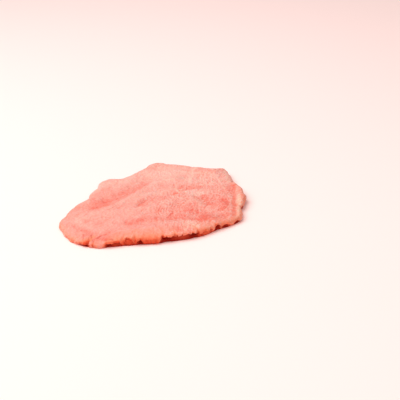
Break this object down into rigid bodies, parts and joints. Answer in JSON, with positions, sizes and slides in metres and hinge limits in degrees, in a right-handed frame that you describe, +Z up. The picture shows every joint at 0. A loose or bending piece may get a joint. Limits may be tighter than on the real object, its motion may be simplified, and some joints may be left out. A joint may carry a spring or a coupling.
{
  "type": "raw pork schnitzel",
  "caption": "Thin slice of raw pork leg lying flat, with soft ridges on top and a wavy, partly lifted rim.",
  "frame": {"origin": "centre of the slice's bounding box, on the flat underside that it rests on", "axes": "+Z up out of the surface that the slice lies on; +X along its longest extent, from the thin blunt tip to the thicker end; +Y towards its far side, away from the lifted front lip"},
  "size_m": [0.19, 0.1636, 0.0108],
  "materials": {
    "raw_meat": "moist raw pork, pale pink, soft satin sheen"
  },
  "bodies": {
    "root": {"schnitzel": "raw_meat"}
  },
  "joints": []
}
